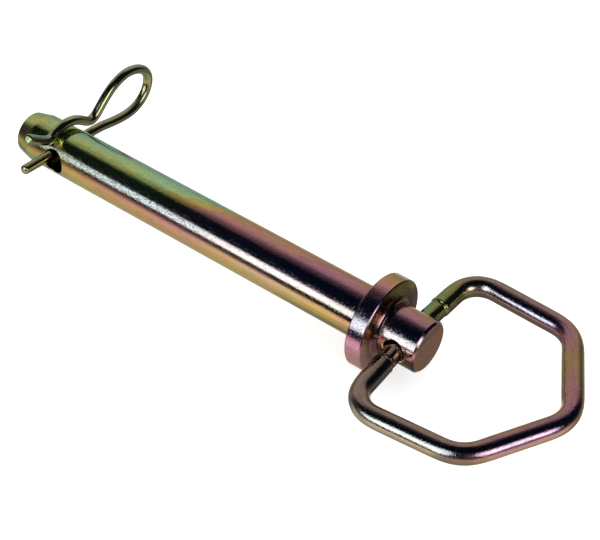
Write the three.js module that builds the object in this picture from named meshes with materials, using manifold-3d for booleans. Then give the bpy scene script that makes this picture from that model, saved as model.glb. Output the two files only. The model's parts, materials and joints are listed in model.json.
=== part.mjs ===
// Hitch pin with a collar, a swinging bent-rod handle and a hairpin spring clip.
//
// Millimetres, +Z up. The pin's axis is the X axis: the origin is the centre of
// the nose's flat end and +X runs to the head. The handle swings about a line
// parallel to Y through the head and reaches out past it, towards +X.

import * as THREE from 'three';
import { mergeVertices } from 'three/addons/utils/BufferGeometryUtils.js';
import Module from 'manifold-3d';

const wasm = await Module();
wasm.setup();

const X_AXIS = new THREE.Vector3(1, 0, 0);
const Y_AXIS = new THREE.Vector3(0, 1, 0);

// ---------------------------------------------------------------- dimensions
const GAP = 0.3; // between pieces that meet

// bar: one round bar from the nose to the end of the head
const PIN_R = 12.7; // 1 in bar
const NOSE_LENGTH = 8.1;
const NOSE_R = 10.8;
const HEAD_LENGTH = 29.8; // from the collar's clamping face
const HEAD_CHAMFER = 1.1;
const BAR_SEGMENTS = 48;

// collar: a ring on the bar
const COLLAR_X = 213.3; // its clamping face, towards the nose
const COLLAR_R = 23.0;
const COLLAR_THICKNESS = 8.5;
const COLLAR_CHAMFER = 0.6;
const COLLAR_FILLET = 2.2; // how far its head-side fillet runs along the bar
const COLLAR_SEGMENTS = 64;

const HEAD_X = COLLAR_X + HEAD_LENGTH; // end of the head

// cross-holes
const HOLE_SEGMENTS = 32;
const CUTTER_Y = 16; // the hole cutters reach this far either side of the axis
const MOUTH_Y = PIN_R + 0.4; // outer end of the cutters at the mouths
const PIVOT_X = 231.8; // handle's hole, along Y
const PIVOT_HOLE_R = 5.6;
const SPOT_R = 6.5; // spot faces at the handle hole's mouths
const SPOT_Y = 11.0; // their distance from the pin's axis
const CLIP_HOLE_X = 26.0;
const CLIP_HOLE_R = 6.35; // drilled 1/2 in
const COUNTERSINK_Y = 11.2; // inner end of the clip hole's countersink cones
const CLIP_SLOPE = THREE.MathUtils.degToRad(-7); // turn about X, from +Y

// handle: one rod bent to a five-sided ring, its two ends in the head's hole.
// y is across, w runs outwards from the pivot in the handle's own plane.
const ROD_R = 5.0;
const ROD_SEGMENTS = 20;
const SPIGOT_R = 4.7; // the ends are swaged down a little
const SPIGOT_CHAMFER = 0.8;
const SPIGOT_OVERLAP = 3; // length of spigot buried in the full rod
const STEP_Y = 21.5; // where the swaging starts
const END_Y = 2.5; // each end stops this far from the pin's axis
const LOWER_CORNER = { y: 49.0, w: 2.2, bend: 13.0 }; // beside the head
const UPPER_CORNER = { y: 45.2, w: 57.8, bend: 17.0 };
const APEX = { y: 0, w: 84.0, bend: 17.0 };
const BEND_STEPS = 8;
const HANDLE_TILT = THREE.MathUtils.degToRad(2.44); // above the pin's axis

// clip: one wire in a plane across the pin
const WIRE_R = 2.5;
const WIRE_SEGMENTS = 18;
const WIRE_TIP = 0.8; // length of the cone on the arm's tip
const CLIP_X = 23.8; // the wire is off its hole's axis, towards the nose
const LEG_Z0 = 2.57; // height of the leg's axis where it crosses y = 0
const LEG_TIP_Y = -29.6;
const LEG_END_Y = 19.0; // end of the straight leg, start of the loop
const LEG_SEGMENTS = 20;
const LOOP_STEPS = 26;
const ARM_STEPS = 62;

// ------------------------------------------------------------------- helpers
// Manifold needs shared vertices and no collapsed triangles.
function solid(geometry) {
  geometry.deleteAttribute('normal');
  geometry.deleteAttribute('uv');
  const merged = mergeVertices(geometry, 1e-4);
  const corners = merged.index.array;
  const triangles = [];
  for (let i = 0; i < corners.length; i += 3) {
    const [a, b, c] = corners.subarray
      ? corners.subarray(i, i + 3)
      : corners.slice(i, i + 3);
    if (a !== b && b !== c && c !== a) triangles.push(a, b, c);
  }
  return new wasm.Manifold(
    new wasm.Mesh({
      numProp: 3,
      vertProperties: new Float32Array(merged.attributes.position.array),
      triVerts: new Uint32Array(triangles),
    }),
  );
}

function toGeometry(manifold) {
  const mesh = manifold.getMesh();
  const geometry = new THREE.BufferGeometry();
  const positions = new Float32Array(mesh.vertProperties);
  geometry.setAttribute('position', new THREE.BufferAttribute(positions, 3));
  geometry.setIndex(new THREE.BufferAttribute(new Uint32Array(mesh.triVerts), 1));
  geometry.computeVertexNormals();
  return geometry;
}

// A profile of [x, radius] points turned about the X axis. Its outer side has
// to run towards +X for the faces to point outwards.
function turnedSolid(profile, segments) {
  const points = profile.map(([x, radius]) => new THREE.Vector2(radius, x));
  const geometry = new THREE.LatheGeometry(points, segments);
  // the lathe turns about Y; bring Y to X
  geometry.rotateZ(-Math.PI / 2);
  return solid(geometry);
}

// A cylinder or cone about `direction`, which runs from its start to its end.
function cone({ centre, direction, startR, endR, length, segments }) {
  const geometry = new THREE.CylinderGeometry(endR, startR, length, segments, 1);
  geometry.applyQuaternion(new THREE.Quaternion().setFromUnitVectors(Y_AXIS, direction));
  geometry.translate(...centre.toArray());
  return geometry;
}

function circle(radius, segments) {
  const points = [];
  for (let i = 0; i < segments; i++) {
    const angle = ((i + 0.5) / segments) * 2 * Math.PI;
    points.push(new THREE.Vector2(radius * Math.cos(angle), radius * Math.sin(angle)));
  }
  return new THREE.Shape(points);
}

function rodAlong(curve, steps, radius, segments) {
  return solid(
    new THREE.ExtrudeGeometry(circle(radius, segments), {
      steps,
      extrudePath: curve,
      bevelEnabled: false,
    }),
  );
}

// A path of given stations for a rod with one step between each pair, so a
// straight run costs a single step.
class Stations extends THREE.Curve {
  constructor(points, tangents) {
    super();
    this.points = points;
    this.tangents = tangents;
    this.steps = points.length - 1;
  }
  getPointAt(t, out = new THREE.Vector3()) {
    return out.copy(this.points[Math.round(t * this.steps)]);
  }
  getTangentAt(t, out = new THREE.Vector3()) {
    return out.copy(this.tangents[Math.round(t * this.steps)]);
  }
}

// The part of a curve between two of its parameters.
class Span extends THREE.Curve {
  constructor(curve, start, end) {
    super();
    Object.assign(this, { curve, start, end });
  }
  getPoint(t, out) {
    return this.curve.getPoint(this.start + (this.end - this.start) * t, out);
  }
}

// ----------------------------------------------------------------- pin's bar
// Cutters for a hole along Y at x and for its two mouths.
function holeCutters(x, radius, mouth) {
  const alongY = (startR, endR, startY, endY) =>
    cone({
      centre: new THREE.Vector3(x, (startY + endY) / 2, 0),
      direction: Y_AXIS,
      startR,
      endR,
      length: endY - startY,
      segments: HOLE_SEGMENTS,
    });
  return [
    alongY(radius, radius, -CUTTER_Y, CUTTER_Y),
    alongY(mouth.innerR, mouth.outerR, mouth.innerY, MOUTH_Y),
    alongY(mouth.outerR, mouth.innerR, -MOUTH_Y, -mouth.innerY),
  ];
}

function makeBar() {
  const profile = [
    [0, 0],
    [0, NOSE_R - 0.75],
    [0.25, NOSE_R - 0.25],
    [0.9, NOSE_R + 0.12],
    [NOSE_LENGTH - 1.4, PIN_R - 0.42],
    [NOSE_LENGTH - 0.2, PIN_R - 0.14],
    [NOSE_LENGTH + 1.2, PIN_R],
    [HEAD_X - HEAD_CHAMFER, PIN_R],
    [HEAD_X, PIN_R - HEAD_CHAMFER],
    [HEAD_X, 0],
  ];
  const spotFace = { innerR: SPOT_R, outerR: SPOT_R, innerY: SPOT_Y };
  const countersink = {
    innerR: CLIP_HOLE_R - 1.2,
    outerR: CLIP_HOLE_R + 0.7,
    innerY: COUNTERSINK_Y,
  };
  const clipCutters = holeCutters(CLIP_HOLE_X, CLIP_HOLE_R, countersink);
  for (const cutter of clipCutters) cutter.rotateX(CLIP_SLOPE);

  let bar = turnedSolid(profile, BAR_SEGMENTS);
  for (const cutter of [...holeCutters(PIVOT_X, PIVOT_HOLE_R, spotFace), ...clipCutters]) {
    bar = bar.subtract(solid(cutter));
  }
  return toGeometry(bar);
}

// -------------------------------------------------------------------- collar
function makeCollar() {
  const boreR = PIN_R + GAP;
  const backX = COLLAR_X + COLLAR_THICKNESS; // its face towards the head
  const profile = [
    [COLLAR_X, boreR],
    [COLLAR_X, COLLAR_R - COLLAR_CHAMFER],
    [COLLAR_X + COLLAR_CHAMFER, COLLAR_R],
    [backX - COLLAR_CHAMFER, COLLAR_R],
    [backX, COLLAR_R - COLLAR_CHAMFER],
    // the hollow fillet
    [backX, PIN_R + 2.7],
    [backX + 0.45, PIN_R + 1.65],
    [backX + 1.1, PIN_R + 1.05],
    [backX + COLLAR_FILLET, PIN_R + 0.7],
    [backX + COLLAR_FILLET, boreR],
    [COLLAR_X, boreR],
  ];
  return toGeometry(turnedSolid(profile, COLLAR_SEGMENTS));
}

// -------------------------------------------------------------------- handle
// Directions and points of the handle's (y, w) plane, brought into space.
const handleDirection = ({ x: y, y: w }) =>
  new THREE.Vector3(w * Math.cos(HANDLE_TILT), y, w * Math.sin(HANDLE_TILT));
const handlePoint = (flat) => handleDirection(flat).add(new THREE.Vector3(PIVOT_X, 0, 0));

// A point of an end run, on the line from the pivot to the lower corner.
const endRun = (y) =>
  new THREE.Vector2(y, (Math.abs(y) * LOWER_CORNER.w) / LOWER_CORNER.y);

const directionFrom = (a, b) => b.clone().sub(a).normalize();

// Points and tangents of the arc that rounds the corner between two runs.
function bendArc(before, corner, after, radius) {
  const back = directionFrom(corner, before);
  const ahead = directionFrom(corner, after);
  const halfAngle = Math.acos(back.dot(ahead)) / 2;
  const run = radius / Math.tan(halfAngle); // from the corner to the arc's ends
  const centre = back
    .clone()
    .add(ahead)
    .normalize()
    .multiplyScalar(radius / Math.sin(halfAngle))
    .add(corner);
  const start = corner.clone().addScaledVector(back, run).sub(centre);
  const end = corner.clone().addScaledVector(ahead, run).sub(centre);
  const startAngle = Math.atan2(start.y, start.x);
  let sweep = Math.atan2(end.y, end.x) - startAngle;
  while (sweep > Math.PI) sweep -= 2 * Math.PI;
  while (sweep < -Math.PI) sweep += 2 * Math.PI;

  const turn = Math.sign(sweep);
  const points = [];
  const tangents = [];
  for (let i = 0; i <= BEND_STEPS; i++) {
    const angle = startAngle + (sweep * i) / BEND_STEPS;
    const [cos, sin] = [Math.cos(angle), Math.sin(angle)];
    points.push(new THREE.Vector2(centre.x + radius * cos, centre.y + radius * sin));
    tangents.push(new THREE.Vector2(-sin * turn, cos * turn));
  }
  return { points, tangents };
}

// Straight runs joined by arcs, from one step to the other.
function handlePath() {
  const mirrored = (corner) => ({ ...corner, y: -corner.y });
  const corners = [
    mirrored(LOWER_CORNER),
    mirrored(UPPER_CORNER),
    APEX,
    UPPER_CORNER,
    LOWER_CORNER,
  ];
  const outline = [
    endRun(-STEP_Y),
    ...corners.map(({ y, w }) => new THREE.Vector2(y, w)),
    endRun(STEP_Y),
  ];
  const arcs = corners.map(({ bend }, i) =>
    bendArc(outline[i], outline[i + 1], outline[i + 2], bend),
  );
  const points = [outline[0], ...arcs.flatMap((arc) => arc.points), outline.at(-1)];
  const tangents = [
    directionFrom(outline[0], outline[1]),
    ...arcs.flatMap((arc) => arc.tangents),
    directionFrom(outline.at(-2), outline.at(-1)),
  ];
  return new Stations(points.map(handlePoint), tangents.map(handleDirection));
}

function makeHandle() {
  const path = handlePath();
  let handle = rodAlong(path, path.steps, ROD_R, ROD_SEGMENTS);
  for (const side of [-1, 1]) {
    const inner = handlePoint(endRun(side * END_Y));
    const outer = handlePoint(endRun(side * (STEP_Y + SPIGOT_OVERLAP)));
    const direction = directionFrom(inner, outer);
    const shoulder = inner.clone().addScaledVector(direction, SPIGOT_CHAMFER);
    const spigotPath = new Stations([shoulder, outer], [direction, direction]);
    handle = handle.add(rodAlong(spigotPath, 1, SPIGOT_R, ROD_SEGMENTS));
    const chamfer = cone({
      centre: inner.clone().addScaledVector(direction, SPIGOT_CHAMFER / 2),
      direction,
      startR: SPIGOT_R - SPIGOT_CHAMFER,
      endR: SPIGOT_R,
      length: SPIGOT_CHAMFER + 0.01, // runs slightly into the spigot
      segments: ROD_SEGMENTS,
    });
    handle = handle.add(solid(chamfer));
  }
  return toGeometry(handle);
}

// ---------------------------------------------------------------------- clip
const legZ = (y) => LEG_Z0 + Math.tan(CLIP_SLOPE) * y;
const clipPoint = ([y, z]) => new THREE.Vector3(CLIP_X, y, z);

// Points of the wire's axis as [y, z]: the loop, from the leg to its crown...
const LOOP_POINTS = [
  [LEG_END_Y, legZ(LEG_END_Y)],
  [25.5, -0.72], [32.8, -2.55], [40.0, -4.0], [46.8, -4.5],
  [52.6, -3.45], [57.1, -0.9], [60.3, 2.6], [61.95, 6.6],
];
// ...and the sprung arm, from after the crown to its flared tip.
const ARM_POINTS = [
  [61.9, 10.4], [60.0, 14.4], [56.2, 17.7], [51.6, 19.8],
  [46.6, 20.7], [41.6, 20.25], [36.2, 18.5], [30.8, 15.3],
  [26.0, 11.6], [22.4, 8.7], [19.3, 7.5], [16.0, 8.6],
  [11.6, 12.0], [7.0, 14.75], [2.0, 15.95], [-2.4, 15.65],
  [-5.6, 14.65], [-8.8, 13.45], [-11.6, 13.75], [-15.0, 15.75],
  [-18.6, 18.4], [-22.2, 21.2], [-24.3, 22.8],
];

// The loop and the arm are two lengths of one curve, so they meet square at
// the crown of the loop.
const bentWire = new THREE.CatmullRomCurve3(
  [...LOOP_POINTS, ...ARM_POINTS].map(clipPoint),
  false,
  'centripetal',
);
const CROWN_T = (LOOP_POINTS.length - 1) / (bentWire.points.length - 1);
const HALF_GAP_T = GAP / 2 / bentWire.getLength();

// Straight leg, with a rounded tip, through the pin.
function makeLeg() {
  const tip = clipPoint([LEG_TIP_Y, legZ(LEG_TIP_Y)]);
  const end = clipPoint([LEG_END_Y, legZ(LEG_END_Y)]);
  const length = end.distanceTo(tip) - GAP;
  const profile = [
    [0, 0],
    [0, WIRE_R - 0.9],
    [0.25, WIRE_R - 0.4],
    [0.9, WIRE_R],
    [length, WIRE_R],
    [length, 0],
  ];
  const direction = new THREE.Vector3(0, Math.cos(CLIP_SLOPE), Math.sin(CLIP_SLOPE));
  const geometry = toGeometry(turnedSolid(profile, LEG_SEGMENTS));
  geometry.applyQuaternion(new THREE.Quaternion().setFromUnitVectors(X_AXIS, direction));
  geometry.translate(...tip.toArray());
  return geometry;
}

function makeLoop() {
  const curve = new Span(bentWire, 0, CROWN_T - HALF_GAP_T);
  return toGeometry(rodAlong(curve, LOOP_STEPS, WIRE_R, WIRE_SEGMENTS));
}

function makeArm() {
  const curve = new Span(bentWire, CROWN_T + HALF_GAP_T, 1);
  const direction = curve.getTangent(1).normalize();
  const tip = cone({
    // set back slightly into the wire
    centre: curve.getPoint(1).addScaledVector(direction, WIRE_TIP / 2 - 0.01),
    direction,
    startR: WIRE_R,
    endR: WIRE_R - WIRE_TIP,
    length: WIRE_TIP,
    segments: WIRE_SEGMENTS,
  });
  const arm = rodAlong(curve, ARM_STEPS, WIRE_R, WIRE_SEGMENTS).add(solid(tip));
  return toGeometry(arm);
}

// ----------------------------------------------------------------- the group
const zinc = (color, roughness) =>
  new THREE.MeshStandardMaterial({ color, roughness, metalness: 1 });

const MATERIALS = {
  pin: zinc(0x8f7a55, 0.22),
  collar: zinc(0x93705f, 0.25),
  handle: zinc(0x85736a, 0.22),
  clip: zinc(0x6f6552, 0.2),
};

const group = new THREE.Group();

function addPiece(name, geometry, material) {
  const mesh = new THREE.Mesh(geometry, material);
  mesh.name = name;
  group.add(mesh);
}

addPiece('pin_bar', makeBar(), MATERIALS.pin);
addPiece('collar', makeCollar(), MATERIALS.collar);
addPiece('handle', makeHandle(), MATERIALS.handle);
addPiece('clip_leg', makeLeg(), MATERIALS.clip);
addPiece('clip_loop', makeLoop(), MATERIALS.clip);
addPiece('clip_arm', makeArm(), MATERIALS.clip);

export default group;
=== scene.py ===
"""Looks for a hitch pin with a collar, a swinging bent-rod handle and a hairpin clip.

The pin's axis is X, the origin is the centre of the nose's end face and the head is at +X.
The handle's ring opens along X from its pivot in the head; the clip lies in a plane
across the pin near the nose. Shapes are worked out in millimetres and built in metres.
"""

import json
import math

import bmesh
import bpy
import numpy as np
from mathutils import Matrix, Vector


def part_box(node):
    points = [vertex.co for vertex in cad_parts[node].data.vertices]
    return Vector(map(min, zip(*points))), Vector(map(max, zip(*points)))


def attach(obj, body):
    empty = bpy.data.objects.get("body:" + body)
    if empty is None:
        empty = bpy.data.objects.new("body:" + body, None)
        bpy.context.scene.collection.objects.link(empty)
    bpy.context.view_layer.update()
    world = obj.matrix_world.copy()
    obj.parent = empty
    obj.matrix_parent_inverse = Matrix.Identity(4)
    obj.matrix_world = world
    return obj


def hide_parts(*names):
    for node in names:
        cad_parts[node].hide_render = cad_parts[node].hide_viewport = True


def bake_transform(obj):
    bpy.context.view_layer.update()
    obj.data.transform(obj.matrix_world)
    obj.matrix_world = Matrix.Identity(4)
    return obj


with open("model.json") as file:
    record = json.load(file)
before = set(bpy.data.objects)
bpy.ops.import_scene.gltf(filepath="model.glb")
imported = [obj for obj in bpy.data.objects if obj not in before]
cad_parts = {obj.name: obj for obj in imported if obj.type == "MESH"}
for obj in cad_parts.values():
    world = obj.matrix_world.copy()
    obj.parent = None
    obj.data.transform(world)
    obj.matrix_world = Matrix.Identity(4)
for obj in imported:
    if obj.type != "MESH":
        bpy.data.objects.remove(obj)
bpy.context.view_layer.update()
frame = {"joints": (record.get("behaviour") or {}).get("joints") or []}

MM = 0.001
DEG = 180 / math.pi


def joint(name):
    return next(j for j in frame["joints"] if j["name"] == name)


# ------------------------------------------------------------------ dimensions, in mm
bar_lo, bar_hi = (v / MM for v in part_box("pin_bar"))
col_lo, col_hi = (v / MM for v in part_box("collar"))
PIN_R = bar_hi.z
HEAD_X = bar_hi.x
FILLET = 2.2  # the collar's rear corner runs out this far along the head
COL_X0, COL_X1, COL_R = col_lo.x, col_hi.x - FILLET, col_hi.z
PIVOT_X = joint("handle_swing")["pos_m"][0] / MM
CLIP_X = joint("clip_turn")["pos_m"][0] / MM
LEG_Z0 = joint("clip_turn")["pos_m"][2] / MM  # height of the clip's leg over the pin's axis
CROWN = [c / MM for c in joint("clip_flex")["pos_m"]]
SLOPE = math.atan2(*[joint("clip_slide")["axis"][i] for i in (2, 1)])
CLIP_HOLE_X = CLIP_X + 2.2
CLIP_HOLE_R = 6.35
SINK_DEPTH = 6.05  # at the countersink, height less distance from the hole's axis
PIVOT_HOLE_R = 5.6
SPOT_R, SPOT_Y = 6.5, 11.0  # the flat round seat about each pivot mouth, and its height
WIRE_R = 2.5
ROD_R = 5.0


# ------------------------------------------------------------------ mesh helpers
def new_object(name, verts, faces, normals, rod=None):
    """A smooth mesh object from points in mm. normals: {vertex: direction} over the mesh's own.

    rod: a place along and across the rod for each vertex, kept as rodco; its faces are
    already wound outwards."""
    mesh = bpy.data.meshes.new(name)
    mesh.from_pydata([tuple(c * MM for c in v) for v in verts], [], faces)
    mesh.validate()
    if rod:
        rodco = mesh.attributes.new("rodco", "FLOAT_VECTOR", "POINT")
        rodco.data.foreach_set("vector", (np.array(rod, np.float32) * MM).ravel())
    else:
        bm = bmesh.new()
        bm.from_mesh(mesh)
        bmesh.ops.recalc_face_normals(bm, faces=bm.faces)
        bm.to_mesh(mesh)
        bm.free()
    for polygon in mesh.polygons:
        polygon.use_smooth = True
    if normals:
        own = [0.0] * (3 * len(mesh.vertices))
        mesh.vertices.foreach_get("normal", own)
        shading = np.array(own).reshape(-1, 3)
        for i, direction in normals.items():
            direction = np.array(direction, float)
            shading[i] = direction / np.linalg.norm(direction)
        mesh.normals_split_custom_set_from_vertices([tuple(v) for v in shading])
    ob = bpy.data.objects.new(name, mesh)
    bpy.context.scene.collection.objects.link(ob)
    return ob


def rounded(corners):
    """A polyline [(x, y, radius), ...] with rounded corners: points, normals left of travel."""
    points, normals = [], []

    def put(p, along):
        if points and math.hypot(p[0] - points[-1][0], p[1] - points[-1][1]) < 1e-6:
            return
        points.append((float(p[0]), float(p[1])))
        normals.append((-float(along[1]), float(along[0])))

    P = [np.array(c[:2], float) for c in corners]
    last = len(P) - 1
    for k in range(last + 1):
        radius = corners[k][2]
        if k in (0, last) or radius <= 0:
            start, end = (P[k], P[k + 1]) if k == 0 else (P[k - 1], P[k])
            put(P[k], (end - start) / np.linalg.norm(end - start))
            continue
        to_last = P[k - 1] - P[k]
        to_next = P[k + 1] - P[k]
        to_last /= np.linalg.norm(to_last)
        to_next /= np.linalg.norm(to_next)
        half = math.acos(max(-1, min(1, float(to_last @ to_next)))) / 2
        run = radius / math.tan(half)
        middle = to_last + to_next
        centre = P[k] + middle / np.linalg.norm(middle) * radius / math.sin(half)
        start, end = P[k] + to_last * run - centre, P[k] + to_next * run - centre
        angle0 = math.atan2(start[1], start[0])
        sweep_angle = math.atan2(end[1], end[0]) - angle0
        sweep_angle = (sweep_angle + math.pi) % (2 * math.pi) - math.pi
        sign = 1 if sweep_angle > 0 else -1
        steps = max(3, int(math.ceil(abs(sweep_angle) / math.radians(9))))
        for i in range(steps + 1):
            angle = angle0 + sweep_angle * i / steps
            cos, sin = math.cos(angle), math.sin(angle)
            put(centre + radius * np.array([cos, sin]), (-sin * sign, cos * sign))
    return points, normals


def band(a, b):
    """Quads between two closed rings of vertices."""
    count = len(a)
    return [(a[j], b[j], b[(j + 1) % count], a[(j + 1) % count]) for j in range(count)]


def turned(profile, segments, closed=False, skip=()):
    """A profile of ((x, r), (normal x, normal r)) turned about X.

    skip holds the (ring, segment) faces left out. Returns vertices, normals, rings, faces."""
    verts, normals, rings, faces = [], {}, [], []
    for (x, r), (nx, nr) in profile:
        if r < 1e-6:
            rings.append([len(verts)])
            normals[len(verts)] = (nx, 0, 0)
            verts.append((x, 0, 0))
            continue
        ring = []
        for j in range(segments):
            angle = 2 * math.pi / segments * j
            cos, sin = math.cos(angle), math.sin(angle)
            ring.append(len(verts))
            verts.append((x, r * cos, r * sin))
            normals[ring[-1]] = (nx, nr * cos, nr * sin)
        rings.append(ring)
    following = rings[1:] + (rings[:1] if closed else [])
    for i, (a, b) in enumerate(zip(rings, following)):
        for j in range(segments):
            k = (j + 1) % segments
            if (i, j) in skip:
                continue
            if len(a) == 1:
                faces.append((a[0], b[j], b[k]))
            elif len(b) == 1:
                faces.append((a[j], b[0], a[k]))
            else:
                faces.append((a[j], b[j], b[k], a[k]))
    return verts, normals, rings, faces


def arc_lengths(P):
    return np.r_[0, np.cumsum(np.linalg.norm(np.diff(P, axis=0), axis=1))]


def sweep(name, centre, side, radius, segments, caps, shape=None, s0=0.0, tangents=None):
    """A rod along a flat path. side: unit vector across the path's plane.

    radius(s) is the radius at arc length s. caps: per end, a list of (inset, radius share)
    rings from the end inwards, or None for a flush joint. shape(s, angle) scales the section
    at an angle measured from side. s0: the arc length recorded at the start."""
    C = np.array(centre, float)
    side = np.array(side, float)
    s = arc_lengths(C)
    T = np.gradient(C, s, axis=0) if tangents is None else np.array(tangents, float)
    T /= np.linalg.norm(T, axis=1)[:, None]
    # a station: centre, direction, arc length, share of the radius
    stations = [(C[i], T[i], s[i], 1.0) for i in range(len(C))]
    if caps[0]:
        head = [(C[0] + T[0] * inset, T[0], inset, share) for inset, share in caps[0]]
        limit = caps[0][-1][0]
        stations = head + [q for q in stations if q[2] > limit + 1e-6]
    if caps[1]:
        tail = [
            (C[-1] - T[-1] * inset, T[-1], s[-1] - inset, share)
            for inset, share in reversed(caps[1])
        ]
        limit = s[-1] - caps[1][-1][0]
        stations = [q for q in stations if q[2] < limit - 1e-6] + tail
    verts, faces, rod, rings, normals = [], [], [], [], {}
    for c, along, at, share in stations:
        up = np.cross(along, side)
        up /= np.linalg.norm(up)
        ring = []
        for j in range(segments):
            angle = 2 * math.pi * j / segments
            cos, sin = math.cos(angle), math.sin(angle)
            r = radius(at) * share
            k = shape(at, angle) if shape else 1.0
            ring.append(len(verts))
            verts.append(tuple(c + (side * cos + up * sin) * r * k))
            rod.append((at + s0, r * k * cos, r * k * sin))
            if share == 1.0 and shape is None:
                normals[ring[-1]] = side * cos + up * sin
        rings.append(ring)
    for a, b in zip(rings[:-1], rings[1:]):
        for j in range(segments):
            k = (j + 1) % segments
            faces.append((a[j], a[k], b[k], b[j]))
    for end in (0, -1):
        ring = rings[end]
        c, _, at, _ = stations[end]
        if not caps[end]:
            # a flush joint: the cap has its own rim, so the side's shading runs straight through
            own = list(range(len(verts), len(verts) + segments))
            verts += [verts[j] for j in ring]
            rod += [rod[j] for j in ring]
            ring = own
        loops = [ring]
        for share in (0.6, 0.25):
            loop = []
            for j in ring:
                loop.append(len(verts))
                verts.append(tuple(c + (np.array(verts[j]) - c) * share))
                rod.append((at + s0, rod[j][1] * share, rod[j][2] * share))
            loops.append(loop)
        middle = len(verts)
        verts.append(tuple(c))
        rod.append((at + s0, 0, 0))
        disc = band(loops[0], loops[1]) + band(loops[1], loops[2])
        inner = loops[2]
        disc += [(inner[j], middle, inner[(j + 1) % segments]) for j in range(segments)]
        faces += [f[::-1] for f in disc] if end else disc
    return new_object(name, verts, faces, normals, rod)


def step01(x, start, end):
    t = min(1.0, max(0.0, (x - start) / (end - start)))
    return t * t * (3 - 2 * t)


def smooth(points, sigma):
    """Evens out a curve's bends a little, with its ends held."""
    P = np.array(points, float)
    s = arc_lengths(P)
    out = P.copy()
    for i in range(len(P)):
        width = min(sigma, 0.5 * min(s[i], s[-1] - s[i]) + 1e-6)
        weight = np.exp(-0.5 * ((s - s[i]) / width) ** 2)
        out[i] = (P * weight[:, None]).sum(0) / weight.sum()
    return out


def resample(points, step):
    P = np.array(points, float)
    s = arc_lengths(P)
    count = max(2, int(round(s[-1] / step)))
    t = np.linspace(0, s[-1], count + 1)
    return np.column_stack([np.interp(t, s, P[:, i]) for i in range(P.shape[1])])


# ------------------------------------------------------------------ the bar
# One turned bar with two cross-holes. Around each hole's mouth the grid is cut back to a
# square patch whose rings close in on the mouth, so the whole bar is one clean quad mesh.
ROWS = 192  # around the bar
ROW = 2 * math.pi / ROWS
HALF = 22  # rows each side of a hole's centre line in its patch
MOUTH_N = 8 * HALF  # points round a patch
PATCH_LOOPS = 13
WALL_STEPS = 8
NOSE_FACE_R, NOSE_TAPER, NOSE_END = 10.71, 8.55, 16.0
HEAD_EDGE_X = HEAD_X - 1.9  # where the head's rounded edge starts
MAX_STATION = 4.0  # spacing of the rings between the holes


def surface_height(r, angle):
    """Height of the bar's surface over its axis, at r and angle about a hole's axis."""
    return math.sqrt(PIN_R**2 - (r * math.sin(angle)) ** 2)


def spot_section(angle):
    """The spot-faced mouth: its rim radius and (distance from the hole's axis, height) points."""
    rim = SPOT_R + 0.18
    top = surface_height(rim, angle)
    seat = SPOT_Y if top > SPOT_Y + 0.2 else top - 0.2
    edge = min(0.25, (top - seat) * 0.3)
    return rim, [
        (SPOT_R + 0.09, top - 0.03),
        (SPOT_R + 0.01, top - edge * 0.6),
        (SPOT_R, seat + edge),
        (SPOT_R - 0.05, seat + edge * 0.3),
        (SPOT_R - 0.16, seat),
        (SPOT_R - 0.45, seat + 0.01),
        (PIVOT_HOLE_R + 0.2, seat),
        (PIVOT_HOLE_R + 0.05, seat - 0.06),
        (PIVOT_HOLE_R, seat - 0.25),
    ]


def bezier(a, b, c, t):
    return (1 - t) ** 2 * a + 2 * t * (1 - t) * b + t * t * c


def sunk_section(angle):
    """The countersunk mouth: its rim radius and (distance from the hole's axis, height) points."""
    r = CLIP_HOLE_R
    for _ in range(30):
        r = 0.5 * r + 0.5 * (surface_height(r, angle) - SINK_DEPTH)
    # a soft maximum keeps the edge smooth where the countersink runs out
    least = CLIP_HOLE_R + 0.32
    edge = least + 0.5 * ((r - least) + math.sqrt((r - least) ** 2 + 0.02))
    rim = edge + 0.12
    wall_top = surface_height(CLIP_HOLE_R, angle) - 0.35
    foot_y = min(CLIP_HOLE_R + SINK_DEPTH, wall_top) - 0.05
    outer = np.array([rim, surface_height(rim, angle)])
    corner = np.array([edge, surface_height(edge, angle)])
    foot = np.array([CLIP_HOLE_R, foot_y])
    wall = np.array([CLIP_HOLE_R, foot_y - 0.35])
    slope_a = corner + (foot - corner) * 0.3
    slope_b = corner + (foot - corner) * 0.7
    points = [bezier(outer, corner, slope_a, i / 4) for i in range(1, 5)]
    points.append(slope_b)
    points += [bezier(slope_b, foot, wall, i / 4) for i in range(1, 5)]
    return rim, points


# reach: how far the patch runs from the hole's axis towards the nose and the head
EVEN = PIN_R * ROW * HALF
HOLES = (
    dict(x=CLIP_HOLE_X, phi=SLOPE, reach=(EVEN, EVEN), section=sunk_section),
    # the head is short, so this patch is fitted between the collar and the end
    dict(x=PIVOT_X, phi=0.0, reach=(9.0, 9.2), section=spot_section),
)


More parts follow.
